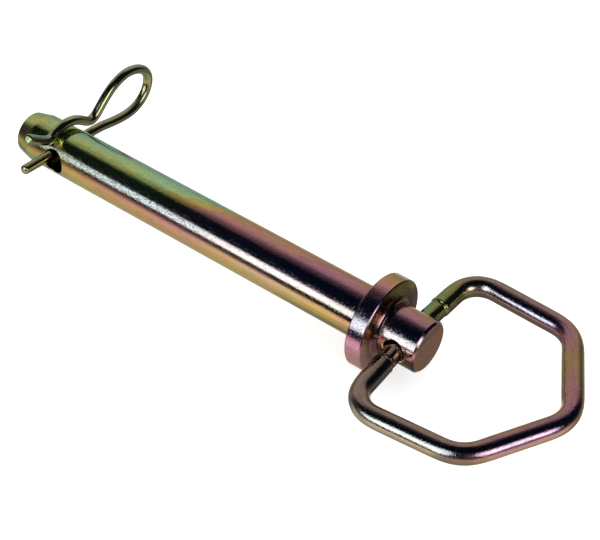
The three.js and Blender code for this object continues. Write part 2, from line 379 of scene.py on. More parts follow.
def bar_profile():
    """The bar's ((x, r), normal) profile, and the index of each patch's first ring."""
    nose, nose_n = rounded(
        [(0, 0, 0), (0, NOSE_FACE_R, 0.95), (NOSE_TAPER, PIN_R, 7), (NOSE_END, PIN_R, 0)]
    )
    head, head_n = rounded(
        [
            (HEAD_EDGE_X, PIN_R, 0),
            (HEAD_X - 1.05, PIN_R, 0.3),
            (HEAD_X, PIN_R - 1.05, 0.35),
            (HEAD_X, 0, 0),
        ]
    )
    profile = [(nose[0], (-1, 0))]
    profile += [((0, r), (-1, 0)) for r in (2.0, 5.0, 8.0)]
    profile += list(zip(nose[1:-1], nose_n[1:-1]))
    xs, starts = [], []
    at = NOSE_END
    for hole in HOLES:
        before, after = hole["reach"]
        x0 = max(hole["x"] - before, at)
        x1 = hole["x"] + after
        count = max(1, int((x0 - at) / MAX_STATION))
        xs += [at + (x0 - at) * i / count for i in range(count)]
        starts.append(len(profile) + len(xs))
        xs += [x0 + (x1 - x0) * i / (2 * HALF) for i in range(2 * HALF)]
        at = x1
    xs.append(at)
    if at < HEAD_EDGE_X - 1e-6:
        xs.append(HEAD_EDGE_X)
    profile += [((x, PIN_R), (0, 1)) for x in xs]
    profile += list(zip(head[1:-1], head_n[1:-1]))
    profile += [((HEAD_X, r), (1, 0)) for r in (8.5, 5.0, 2.0)]
    profile.append((head[-1], (1, 0)))
    return profile, starts


def patch_edge(i0, j0):
    """A patch's edge as (ring, row), from the middle of its +x side towards larger angle."""
    i1 = i0 + 2 * HALF
    low, high = j0 - HALF, j0 + HALF
    edge = [(i1, j) for j in range(j0, high)]
    edge += [(i, high) for i in range(i1, i0, -1)]
    edge += [(i0, j) for j in range(high, low, -1)]
    edge += [(i, low) for i in range(i0, i1)]
    edge += [(i1, j) for j in range(low, j0)]
    return edge


def build_bar():
    profile, starts = bar_profile()
    skip, mouths = set(), []
    for hole, i0 in zip(HOLES, starts):
        for turn in (0, 1):
            phi = hole["phi"] + math.pi * turn
            j0 = int(round(phi / ROW))
            for i in range(i0, i0 + 2 * HALF):
                for j in range(j0 - HALF, j0 + HALF):
                    skip.add((i, j % ROWS))
            mouths.append((hole, phi, patch_edge(i0, j0)))
    verts, normals, rings, faces = turned(profile, ROWS, skip=skip)
    angles = [2 * math.pi * k / MOUTH_N for k in range(MOUTH_N)]
    last_loops = []
    for hole, phi, edge in mouths:
        outward = np.array([0, math.cos(phi), math.sin(phi)])
        across = np.array([0, -math.sin(phi), math.cos(phi)])  # towards larger angle
        sections = [hole["section"](angle) for angle in angles]
        loops = [[rings[i][j % ROWS] for i, j in edge]]
        # loops on the bar's surface, closing in on the rim
        for step in range(1, PATCH_LOOPS + 1):
            u = 1 - (1 - step / PATCH_LOOPS) ** 1.35
            loop = []
            for (i, j), angle, (rim, _) in zip(edge, angles, sections):
                x = verts[rings[i][j % ROWS]][0]
                around = PIN_R * (j * ROW - phi)
                around = (around + math.pi * PIN_R) % (2 * math.pi * PIN_R) - math.pi * PIN_R
                rim_x = hole["x"] + rim * math.cos(angle)
                rim_around = PIN_R * math.asin(rim * math.sin(angle) / PIN_R)
                turn = phi + (around + (rim_around - around) * u) / PIN_R
                cos, sin = math.cos(turn), math.sin(turn)
                loop.append(len(verts))
                verts.append((x + (rim_x - x) * u, PIN_R * cos, PIN_R * sin))
                normals[loop[-1]] = (0, cos, sin)
            loops.append(loop)
        # loops down into the mouth
        for step in range(len(sections[0][1])):
            loop = []
            for angle, (_, points) in zip(angles, sections):
                r, height = points[step]
                p = outward * height + across * (r * math.sin(angle))
                loop.append(len(verts))
                verts.append((hole["x"] + r * math.cos(angle), p[1], p[2]))
            loops.append(loop)
        for a, b in zip(loops[:-1], loops[1:]):
            faces += band(a, b)
        last_loops.append(loops[-1])
    # the holes' walls, mouth to mouth
    for first, second in (last_loops[:2], last_loops[2:]):
        # the second mouth runs the other way round: its angle is minus the first's
        other = [second[-k % MOUTH_N] for k in range(MOUTH_N)]
        last = first
        for step in range(1, WALL_STEPS):
            t = step / WALL_STEPS
            loop = []
            for a, b in zip(first, other):
                loop.append(len(verts))
                verts.append(tuple(np.array(verts[a]) * (1 - t) + np.array(verts[b]) * t))
            faces += band(last, loop)
            last = loop
        faces += band(last, other)
    return new_object("bar_finish", verts, faces, normals)


# ------------------------------------------------------------------ the collar
COLLAR_BORE = PIN_R - 0.06  # just inside the bar's surface
COLLAR = [  # x, r, rounding
    (COL_X0 + 3.0, COLLAR_BORE, 0),
    (COL_X0, COLLAR_BORE, 0),
    (COL_X0, COL_R - 0.55, 0.22),
    (COL_X0 + 0.55, COL_R, 0.3),
    (COL_X1 - 0.5, COL_R, 0.3),
    (COL_X1, COL_R - 0.5, 0.22),
    (COL_X1, PIN_R + 2.7, 0.25),
    (COL_X1 + 0.45, PIN_R + 1.65, 0.3),
    (COL_X1 + 1.1, PIN_R + 1.05, 0.3),
    (COL_X1 + FILLET - 0.1, PIN_R + 0.6, 0.3),
    (COL_X1 + FILLET, COLLAR_BORE, 0),
    (COL_X0 + 3.0, COLLAR_BORE, 0),
]


def build_collar():
    points, point_normals = rounded(COLLAR)
    profile = list(zip(points[:-1], point_normals[:-1]))
    verts, normals, _, faces = turned(profile, 224, closed=True)
    return new_object("collar_finish", verts, faces, normals)


# ------------------------------------------------------------------ the handle
TILT = math.radians(2.44)  # the ring's plane rises this much towards its apex
CORNER_A, CORNER_B, APEX_W = (49.0, 2.2), (45.2, 57.8), 84.0  # half width, run from pivot
SLANT = CORNER_A[1] / CORNER_A[0]
ROD_END = 2.9  # half the gap between the rod's two ends
SWAGED_R = 4.68
# the -Y and +Y ends: step's distance from the pin's axis, reach past the step,
# groove depth and width, lip height, inset and width, angle of the flats
SWAGES = (
    (19.8, 3, 0.22, 0.45, 0.07, 0.65, 0.4, 0.55),
    (23.6, 4, 0.42, 0.55, 0.09, 0.7, 0.45, 0.2),
)
ROD_CAP = [(0.0, 0.80), (0.08, 0.88), (0.3, 0.955), (0.65, 0.99), (1.0, 1.0)]


def handle_path():
    flank = [(ROD_END, ROD_END * SLANT, 0), (*CORNER_A, 13), (*CORNER_B, 17)]
    corners = [(-v, w, r) for v, w, r in flank] + [(0, APEX_W, 17)] + flank[::-1]
    points, _ = rounded(corners)
    flat = resample(smooth(resample(points, 0.8), 2.2), 0.8)
    run = flat[:, 1]
    return np.column_stack(
        [PIVOT_X + run * math.cos(TILT), flat[:, 0], run * math.sin(TILT)]
    )


def build_handle():
    path = handle_path()
    s = arc_lengths(path)
    T = np.gradient(path, s, axis=0)
    T /= np.linalg.norm(T, axis=1)[:, None]
    bend = np.zeros(len(path))  # degrees per mm
    cosines = np.clip((T[1:] * T[:-1]).sum(1), -1, 1)
    bend[1:] = np.degrees(np.arccos(cosines)) / np.diff(s)
    step_neg = SWAGES[0][0] - ROD_END
    step_pos = s[-1] - (SWAGES[1][0] - ROD_END)

    def past_steps(at):
        """Distance from each end's step, positive towards the ring."""
        return at - step_neg, step_pos - at

    def rod_radius(at):
        r = ROD_R
        for inward, swage in zip(past_steps(at), SWAGES):
            _, reach, groove, groove_w, lip, lip_in, lip_w, _ = swage
            if inward < reach:
                r = SWAGED_R + (ROD_R - SWAGED_R) * step01(inward, -0.35, 0.35)
                r -= groove * math.exp(-(((inward + 0.9) / groove_w) ** 2))
                r += lip * math.exp(-(((inward - lip_in) / lip_w) ** 2))
        return r

    def rod_shape(at, angle):
        """Bends pinch in a little across the ring's plane; swaged ends carry soft flats."""
        k = 1.0 - 0.045 * min(1.0, float(np.interp(at, s, bend)) / 3.5) * math.sin(angle) ** 2
        for inward, swage in zip(past_steps(at), SWAGES):
            if inward < 0.4:
                share = 1 - step01(inward, -0.8, 0.4)
                k *= 1 - 0.030 * share * (0.5 + 0.5 * math.cos(4 * (angle - swage[-1]))) ** 2
        return k

    # finer stations at the two steps
    near_neg = np.arange(step_neg - 3, step_neg + 2, 0.2)
    near_pos = np.arange(step_pos - 2, step_pos + 4.5, 0.2)
    stations = []
    for at in np.unique(np.round(np.concatenate([s, near_neg, near_pos]), 3)):
        if stations and at - stations[-1] < 0.12:
            continue
        stations.append(float(at))
    centre = np.column_stack([np.interp(stations, s, path[:, i]) for i in range(3)])
    ring_normal = (-math.sin(TILT), 0, math.cos(TILT))
    return sweep(
        "handle_finish", centre, ring_normal, rod_radius, 72, (ROD_CAP, ROD_CAP), rod_shape
    )


# ------------------------------------------------------------------ the clip
LEG_END_Y = 19.0
LEG_YS = (-29.6, -20.0, -10.0, 0.0, 8.0, 14.0, LEG_END_Y)  # from the leg's tip


def leg_z(y):
    return LEG_Z0 + math.tan(SLOPE) * y


# the wire's centre line as (y, z): from the leg's end round the loop to the crown
LOOP = [
    (25.5, -0.72), (32.8, -2.55), (40.0, -4.0), (46.8, -4.5),
    (52.6, -3.45), (57.1, -0.9), (60.3, 2.6), (CROWN[1], CROWN[2]),
]
# and back from the crown over the bar to the arm's tip
ARM = [
    (61.9, 10.4), (60.0, 14.4), (56.2, 17.7), (51.6, 19.8), (46.6, 20.7), (41.6, 20.25),
    (36.2, 18.5), (30.8, 15.3), (26.0, 11.6), (22.4, 8.7), (19.3, 7.5), (16.0, 8.6),
    (11.6, 12.0), (7.0, 14.75), (2.0, 15.95), (-2.4, 15.65), (-5.6, 14.65), (-8.8, 13.45),
    (-11.6, 13.75), (-15.0, 15.75), (-18.6, 18.4), (-22.2, 21.2), (-24.3, 22.8),
]
LEG_TIP = [(0.0, 0.52), (0.12, 0.66), (0.45, 0.84), (1.0, 0.95), (1.8, 1.0)]
ARM_TIP = [(0.0, 0.70), (0.12, 0.82), (0.4, 0.93), (0.9, 1.0)]
SEAM = 0.02  # the loop turns on the leg's end without touching it


def catmull(points, steps=14):
    """A centripetal Catmull-Rom curve through the points."""
    P = np.array(points, float)
    P = np.vstack([2 * P[0] - P[1], P, 2 * P[-1] - P[-2]])
    out = []
    for i in range(len(P) - 3):
        p0, p1, p2, p3 = P[i : i + 4]
        t0 = 0.0
        t1 = t0 + np.linalg.norm(p1 - p0) ** 0.5
        t2 = t1 + np.linalg.norm(p2 - p1) ** 0.5
        t3 = t2 + np.linalg.norm(p3 - p2) ** 0.5
        for k in range(steps):
            t = t1 + (t2 - t1) * k / steps
            a1 = (t1 - t) / (t1 - t0) * p0 + (t - t0) / (t1 - t0) * p1
            a2 = (t2 - t) / (t2 - t1) * p1 + (t - t1) / (t2 - t1) * p2
            a3 = (t3 - t) / (t3 - t2) * p2 + (t - t2) / (t3 - t2) * p3
            b1 = (t2 - t) / (t2 - t0) * a1 + (t - t0) / (t2 - t0) * a2
            b2 = (t3 - t) / (t3 - t1) * a2 + (t - t1) / (t3 - t1) * a3
            out.append((t2 - t) / (t2 - t1) * b1 + (t - t1) / (t2 - t1) * b2)
    out.append(P[-2])
    return np.array(out)


def clip_wire():
    """The wire's (y, z) centre line and its arc lengths."""
    line = catmull([(y, leg_z(y)) for y in LEG_YS] + LOOP + ARM)
    wire = resample(smooth(resample(line, 0.35), 1.1), 0.7)
    s = arc_lengths(wire)
    # the leg is dead straight up to its end
    for i, (y, z) in enumerate(wire):
        if y < LEG_END_Y + 4 and z < 4:
            straight = 1 - step01(y, LEG_END_Y, LEG_END_Y + 4)
            wire[i][1] = z + (leg_z(y) - z) * straight
    return wire, s


wire, wire_s = clip_wire()
wire_t = np.gradient(wire, wire_s, axis=0)


def arc_at(y, z):
    return float(wire_s[int(np.argmin(np.hypot(wire[:, 0] - y, wire[:, 1] - z)))])


def wire_piece(name, start, end, caps):
    """The wire between two arc lengths."""
    at = [start] + [s for s in wire_s if start + 0.2 < s < end - 0.2] + [end]

    def along(first, values):
        columns = [np.interp(at, wire_s, values[:, i]) for i in (0, 1)]
        return np.column_stack([np.full(len(at), float(first))] + columns)

    centre, tangents = along(CLIP_X, wire), along(0, wire_t)
    return sweep(
        name, centre, (1, 0, 0), lambda _: WIRE_R, 48, caps, s0=start, tangents=tangents
    )


S_LEG = arc_at(LEG_END_Y, leg_z(LEG_END_Y))
S_LOW = arc_at(50.0, -4.1)
S_TOP = arc_at(50.0, 20.2)

bar = build_bar()
collar = build_collar()
handle = build_handle()
leg = wire_piece("clip_leg_finish", 0.0, S_LEG - SEAM, (LEG_TIP, None))
loop = wire_piece("clip_loop_finish", S_LEG + SEAM, S_LOW, (None, None))
crown = wire_piece("clip_crown_finish", S_LOW, S_TOP, (None, None))
arm = wire_piece("clip_arm_finish", S_TOP, float(wire_s[-1]), (None, ARM_TIP))


# ------------------------------------------------------------------ node helpers
class Nodes:
    """Short calls for building a node tree."""

    def __init__(self, tree):
        self.tree = tree
        tree.nodes.clear()

    def node(self, kind, **props):
        node = self.tree.nodes.new(kind)
        for key, value in props.items():
            setattr(node, key, value)
        return node

    def feed(self, socket, value):
        if isinstance(value, bpy.types.NodeSocket):
            self.tree.links.new(value, socket)
        else:
            socket.default_value = value

    def math(self, op, *values):
        node = self.node("ShaderNodeMath", operation=op)
        for i, value in enumerate(values):
            self.feed(node.inputs[i], value)
        return node.outputs[0]

    def add(self, a, b):
        return self.math("ADD", a, b)

    def sub(self, a, b):
        return self.math("SUBTRACT", a, b)

    def mul(self, a, b):
        return self.math("MULTIPLY", a, b)

    def mul_add(self, a, b, c):
        return self.math("MULTIPLY_ADD", a, b, c)

    def vector(self, op, *values, out=0):
        node = self.node("ShaderNodeVectorMath", operation=op)
        for i, value in enumerate(values):
            self.feed(node.inputs[i], value)
        return node.outputs[out]

    def stretch(self, point, factors):
        return self.vector("MULTIPLY", point, factors)

    def split(self, vector):
        node = self.node("ShaderNodeSeparateXYZ")
        self.feed(node.inputs[0], vector)
        return node.outputs

    def ease(self, x, start, end, low=0.0, high=1.0, kind="SMOOTHSTEP"):
        """low where x is at start, high where it is at end, held beyond."""
        node = self.node("ShaderNodeMapRange", interpolation_type=kind)
        self.feed(node.inputs["Value"], x)
        ends = (("From Min", start), ("From Max", end), ("To Min", low), ("To Max", high))
        for key, value in ends:
            self.feed(node.inputs[key], value)
        return node.outputs[0]

    def noise(self, point, scale, detail=3.0, rough=0.55, distort=0.0):
        node = self.node("ShaderNodeTexNoise")
        for key, value in (
            ("Vector", point),
            ("Scale", scale),
            ("Detail", detail),
            ("Roughness", rough),
            ("Distortion", distort),
        ):
            self.feed(node.inputs[key], value)
        return node.outputs[0]

    def drift(self, point, size_mm, amount, stretch=(1, 1, 1)):
        """Noise with features of size_mm, from -amount to amount."""
        value = self.noise(self.stretch(point, stretch), 1000.0 / size_mm)
        return self.ease(value, 0.28, 0.72, -amount, amount, "LINEAR")

    def curve(self, x, x0, x1, stops):
        """Straight lines through stops [(x, value), ...], over x0 to x1."""
        values = [v for _, v in stops]
        low = min(values)
        span = max(values) - low
        node = self.node("ShaderNodeValToRGB")
        node.color_ramp.interpolation = "LINEAR"
        elements = node.color_ramp.elements
        while len(elements) > 1:
            elements.remove(elements[-1])
        for i, (at, value) in enumerate(stops):
            place = (at - x0) / (x1 - x0)
            element = elements[0] if i == 0 else elements.new(place)
            element.position = place
            grey = (value - low) / span
            element.color = (grey, grey, grey, 1)
        self.feed(node.inputs[0], self.ease(x, x0, x1, kind="LINEAR"))
        return self.mul_add(node.outputs[0], span, low)

    def mix(self, factor, a, b, blend="MIX"):
        node = self.node("ShaderNodeMix", data_type="RGBA", blend_type=blend)
        for i, value in ((0, factor), (6, a), (7, b)):
            self.feed(node.inputs[i], value)
        return node.outputs[2]

    def lerp(self, factor, a, b):
        node = self.node("ShaderNodeMix", data_type="FLOAT")
        for i, value in ((0, factor), (2, a), (3, b)):
            self.feed(node.inputs[i], value)
        return node.outputs[0]

    def rgb(self, *values):
        node = self.node("ShaderNodeCombineColor")
        for i, value in enumerate(values):
            self.feed(node.inputs[i], value)
        return node.outputs[0]

    def grey(self, value):
        return self.rgb(value, value, value)

    def tinted(self, value, tint):
        return self.rgb(*[self.mul(value, t) for t in tint])


# ------------------------------------------------------------------ the plating
# The plating is a thin clear film: its colour comes from interference, so it follows the
# film's thickness (as optical path, in nm) and the angle it is seen at.
WAVE = (605.0, 545.0, 460.0)  # nm, for red, green and blue
DEPTH = (0.649, 0.312, 0.505)  # how strongly each channel swings
TINT = (0.66, 0.54, 0.346)
PHASE = -1.634

STAIN = (0.36, 0.31, 0.25, 1)
DIRT = (0.10, 0.075, 0.045, 1)
# the worn strip's colours, warm and cool, painted as the highlight's near-white
HIGHLIGHT_WEAR_WARM = (0.62, 0.405, 0.355, 1)
HIGHLIGHT_WEAR_COOL = (0.585, 0.44, 0.41, 1)
MOTTLE = 0.08
DIRT_SHARE = 0.10
LINE_UM = 0.7  # height of the fine lines along the part


def film_colour(net, path, depth, tint):
    weight = net.node("ShaderNodeLayerWeight")
    weight.inputs["Blend"].default_value = 0.5
    facing = net.sub(1.0, weight.outputs["Facing"])
    # the path shortens as the light runs at a slant through the film
    inside = net.sub(1.0, net.mul(net.sub(1.0, net.mul(facing, facing)), 0.25))
    seen = net.mul(path, net.mul(net.math("SQRT", inside), 1.072))
    channels = []
    for wave, swing, level in zip(WAVE, DEPTH, tint):
        c = net.math("COSINE", net.mul_add(seen, 2 * math.pi / wave, PHASE))
        c = net.mul(c, net.mul(depth, swing))
        channels.append(net.mul(net.add(c, 1.0), level))
    return net.rgb(*channels)


def plated_surface(
    net, point, path, depth, rough, bright=1.0, tint=TINT, stain=0.25, rubbed=None, cool=0.0,
    height=None, pit_scale=900.0, pit_um=7.0, grain_scale=1500.0, grain_um=9.0, wave_um=14.0,
):
    """The plated metal's shader.

    path, depth: the film's optical path in nm and colour strength. bright: overall level,
    which carries painted light and shade.
    stain: greatest share of stain. The next two set a strip worn clear of colour and painted
    as the highlight's near-white, flecked colour: its share, and cool, its hue from warm to
    cool. height: extra relief. The _um values are heights of the relief."""
    colour = film_colour(net, path, depth, tint)
    # stains: where the film is thin or rubbed the steel under it is greyer
    along = net.stretch(point, (1.0, 3.2, 3.2))
    blot = net.noise(along, 95.0, detail=4.0, rough=0.6)
    colour = net.mix(net.ease(blot, 0.45, 0.75, high=stain), colour, STAIN)
    shade = net.noise(along, 240.0, rough=0.6)
    shade = net.ease(shade, 0.3, 0.7, low=1.0 - MOTTLE, high=1.0 + MOTTLE)
    shade = net.mul(shade, bright)
    if rubbed is not None:
        # painted highlight: the worn strip takes a near-white colour, with flecks for the
        # highlight's speckle
        highlight_wear_colour = net.mix(cool, HIGHLIGHT_WEAR_WARM, HIGHLIGHT_WEAR_COOL)
        flecks = net.noise(net.stretch(point, (0.7, 1.0, 1.0)), 1250.0, rough=0.65)
        flecks = net.ease(flecks, 0.40, 0.55)
        flecks = net.lerp(flecks, net.lerp(cool, 0.78, 0.42), net.lerp(cool, 1.12, 1.22))
        highlight_wear_colour = net.mix(1.0, highlight_wear_colour, net.grey(flecks), "MULTIPLY")
        colour = net.mix(rubbed, colour, highlight_wear_colour)
    colour = net.mix(1.0, colour, net.grey(shade), "MULTIPLY")
    # specks of dirt in the pits
    pits = net.stretch(point, (1.0, 1.0, 1.0))
    pits = net.noise(pits, pit_scale, detail=2.0, rough=0.5, distort=0.3)
    pit = net.ease(pits, 0.34, 0.47, low=1.0, high=0.0)
    colour = net.mix(net.mul(pit, DIRT_SHARE), colour, DIRT)
    uneven = net.noise(along, 60.0, detail=4.0, rough=0.65)
    uneven = net.ease(uneven, 0.3, 0.7, low=-0.02, high=0.03)
    rough = net.mul_add(pit, 0.12, net.add(uneven, rough))
    # relief
    lines = net.stretch(point, (0.035, 1.0, 1.0))
    lines = net.noise(lines, 2600.0, detail=2.0, rough=0.5)
    wave = net.noise(point, 85.0, detail=2.0, rough=0.5)
    grain = net.noise(point, grain_scale, detail=2.0, rough=0.6)
    relief = net.mul(wave, wave_um)
    relief = net.mul_add(lines, LINE_UM, relief)
    relief = net.mul_add(grain, grain_um, relief)
    relief = net.mul_add(pit, -pit_um, relief)
    if height is not None:
        relief = net.add(relief, height)
    bump = net.node("ShaderNodeBump")
    bump.inputs["Strength"].default_value = 1.0
    bump.inputs["Distance"].default_value = 1e-6
    net.feed(bump.inputs["Height"], relief)
    shader = net.node("ShaderNodeBsdfPrincipled")
    for key, value in (
        ("Base Color", colour),
        ("Metallic", 1.0),
        ("Roughness", rough),
        ("Normal", bump.outputs[0]),
    ):
        net.feed(shader.inputs[key], value)
    out = net.node("ShaderNodeOutputMaterial")
    net.feed(out.inputs[0], shader.outputs[0])


def plating(name, look, on_rod=False):
    """A plated material. look(net, point) gives the settings of plated_surface."""
    material = bpy.data.materials.new(name)
    material.use_nodes = True
    net = Nodes(material.node_tree)
    if on_rod:
        point = net.node("ShaderNodeAttribute", attribute_name="rodco").outputs["Vector"]
    else:
        point = net.node("ShaderNodeTexCoord").outputs["Object"]
    plated_surface(net, point, **look(net, point))
    return material


def end_faces(net):
    """The surface normal's x, and a mask of the faces square to X."""
    normal_x = net.split(net.node("ShaderNodeNewGeometry").outputs["Normal"])[0]
    return normal_x, net.ease(net.math("ABSOLUTE", normal_x), 0.85, 0.98)


def axis_distance(net, point):
    return net.vector("LENGTH", net.stretch(point, (0, 1, 1)), out=1)


def turned_rings(net, radius, pitch):
    """Tool rings, pitch in metres."""
    return net.math("SINE", net.mul(radius, 2 * math.pi / pitch))


# The bar's tables run along x in mm, with a value at each stop.
BAR_X = (-30, 245)
# optical path in nm: towards +Y and up
PATH_UPPER = [
    (-30, 1255), (0, 1262), (18, 1245), (30, 1190), (43, 1200), (73, 1200), (88, 1180),
    (103, 1190), (110, 1235), (117, 1330), (124, 1395), (148, 1415), (163, 1398),
    (178, 1438), (193, 1455), (205, 1437), (213, 1445), (225, 1440), (243, 1440),
]
# and towards -Y and down
PATH_LOWER = [
    (-30, 1270), (15, 1280), (28, 1292), (37, 1330), (45, 1328), (58, 1368), (73, 1382),
    (88, 1378), (103, 1398), (118, 1383), (133, 1362), (150, 1372), (165, 1374),
    (178, 1342), (193, 1328), (205, 1350), (222, 1385), (243, 1395),
]
BAR_DEPTH = [(0, 0.9), (30, 0.9), (60, 1.0), (200, 1.0), (214, 0.9), (222, 0.95), (243, 0.9)]
# the colour's level along the bar, above and below: painted light and shade for how bright the
# reflections run
BRIGHT_UPPER = [
    (-30, 1.0), (40, 1.12), (60, 1.15), (88, 1.28), (103, 1.2), (112, 0.92), (124, 0.76),
    (150, 0.75), (175, 0.68), (195, 0.72), (205, 0.62), (243, 0.6),
]
BRIGHT_LOWER = [
    (-30, 0.85), (30, 0.85), (40, 1.0), (110, 1.0), (130, 1.12), (165, 1.2), (180, 1.15),
    (205, 0.95), (243, 0.5),
]
BAR_ROUGH = [(0, 0.10), (60, 0.085), (150, 0.08), (243, 0.08)]
# share of the worn strip painted as the highlight, along the bar
BAR_HIGHLIGHT_WEAR = [
    (0, 0.35), (28, 0.7), (60, 0.95), (110, 0.85), (150, 0.7), (195, 0.6), (225, 0.75),
    (243, 0.75),
]


def hole_distance(net, xyz, hole_x, phi):
    """Distance from a cross-hole's axis, in metres."""
    x, y, z = xyz
    dx = net.add(x, -hole_x * MM)
    dt = net.sub(net.mul(z, math.cos(phi)), net.mul(y, math.sin(phi)))
    return net.math("SQRT", net.add(net.mul(dx, dx), net.mul(dt, dt)))


def bar_look(net, point):
    x, y, z = net.split(point)
    mm = net.mul(x, 1000.0)
    # how far round the bar: the film differs between the upper +Y side and the lower -Y side
    ny = net.mul(y, 1 / (PIN_R * MM))
    nz = net.mul(z, 1 / (PIN_R * MM))
    side = net.ease(net.add(net.mul(nz, 0.77), net.mul(ny, 0.64)), -0.25, 0.45)
    at = net.add(mm, net.drift(point, 30, 5.0))
    # the upper side's bands lie further along towards +Y
    far = net.mul(net.ease(ny, 0.15, 0.75), -26.0)
    near = net.mul(net.ease(ny, 0.1, -0.25), 7.0)
    at_up = net.add(at, net.add(far, near))
    upper = net.curve(at_up, *BAR_X, PATH_UPPER)
    lower = net.curve(at, *BAR_X, PATH_LOWER)
    path = net.lerp(side, lower, upper)
    path = net.add(path, net.drift(point, 14, 12.0, (0.35, 1, 1)))
    path = net.add(path, net.drift(point, 5, 6.0, (0.3, 1, 1)))
    path = net.add(path, net.ease(ny, 0.25, 0.85, low=0.0, high=30.0))
    # blotches at the nose
    path = net.add(path, net.mul(net.drift(point, 9, 60.0), net.ease(mm, 26.0, 16.0)))
    depth = net.curve(mm, 0, 245, BAR_DEPTH)
    bright_up = net.curve(at_up, *BAR_X, BRIGHT_UPPER)
    bright = net.lerp(side, net.curve(mm, *BAR_X, BRIGHT_LOWER), bright_up)
    # painted shade: the underside is darker towards the head, for the collar's shadow on the floor
    # it reflects
    under = net.mul(net.ease(nz, -0.02, -0.3), net.ease(mm, 150.0, 185.0))
    bright = net.mul(bright, net.mul_add(under, -0.5, 1.0))
    # the head stub: painted shade underneath and painted light where it faces the boxes, a touch
    # darker on top
    stub = net.ease(mm, COL_X1 - 1.0, COL_X1 + 0.5)
    stub_light_and_shade = net.add(
        net.ease(nz, 0.0, 0.32, low=0.11, high=0.95), net.ease(nz, 0.75, 0.95, high=-0.3)
    )
    bright = net.lerp(stub, bright, stub_light_and_shade)
    # turned rings on the two ends
    _, flat = end_faces(net)
    ring = turned_rings(net, axis_distance(net, point), 0.00042)
    # painted shade: the end faces are darker, the nose's face most
    bright = net.lerp(flat, bright, net.ease(mm, 100.0, 200.0, low=0.5, high=0.84))
    head_face = net.mul(flat, net.ease(mm, 100.0, 200.0))
    path = net.lerp(head_face, path, net.add(1442.0, net.drift(point, 7, 16.0)))
    depth = net.lerp(flat, depth, 1.25)
    # painted shade: inside the two cross-holes the colour is darkened, most of all in the clip's
    # hole
    inside = []
    for hole_x, phi, radius in (
        (CLIP_HOLE_X, SLOPE, CLIP_HOLE_R),
        (PIVOT_X, 0.0, PIVOT_HOLE_R),
    ):
        distance = hole_distance(net, (x, y, z), hole_x, phi)
        inside.append(net.ease(distance, (radius + 0.2) * MM, (radius + 0.03) * MM))
    hole = net.math("MAXIMUM", *inside)
    hole_shade = net.ease(mm, 100.0, 150.0, low=-0.80, high=-0.25)
    bright = net.mul(bright, net.mul_add(hole, hole_shade, 1.0))
    # the spot faces, about the pivot hole, keep their tool marks: torn metal with dark scale
    # between, its bright flecks painted well above the plating's level as glints
    spot = net.ease(distance, (SPOT_R + 0.02) * MM, (SPOT_R - 0.1) * MM)
    spot = net.mul(spot, net.sub(1.0, hole))
    spot = net.mul(spot, net.ease(mm, PIVOT_X - 8.0, PIVOT_X - 7.0))
    torn = net.noise(point, 1500.0, rough=0.7)
    bright = net.lerp(spot, bright, net.ease(torn, 0.42, 0.60, low=0.25, high=2.6))
    rough = net.curve(mm, 0, 245, BAR_ROUGH)
    ring_um = net.mul(net.mul(ring, flat), 2.2)
    height = net.add(ring_um, net.mul(net.mul(torn, spot), 90.0))
    # the strip that catches the boxes' highlight is rubbed nearly clear of colour, and painted
    # near-white and flecked as the highlight
    highlight_strip = net.mul(net.ease(nz, 0.42, 0.52), net.ease(nz, 0.80, 0.70))
    return dict(
        path=path,
        depth=depth,
        bright=bright,
        rough=rough,
        height=height,
        grain_um=45.0,
        grain_scale=1100.0,
        stain=0.22,
        rubbed=net.mul(highlight_strip, net.curve(mm, 0, 245, BAR_HIGHLIGHT_WEAR)),
        cool=net.ease(mm, 135.0, 85.0),
    )


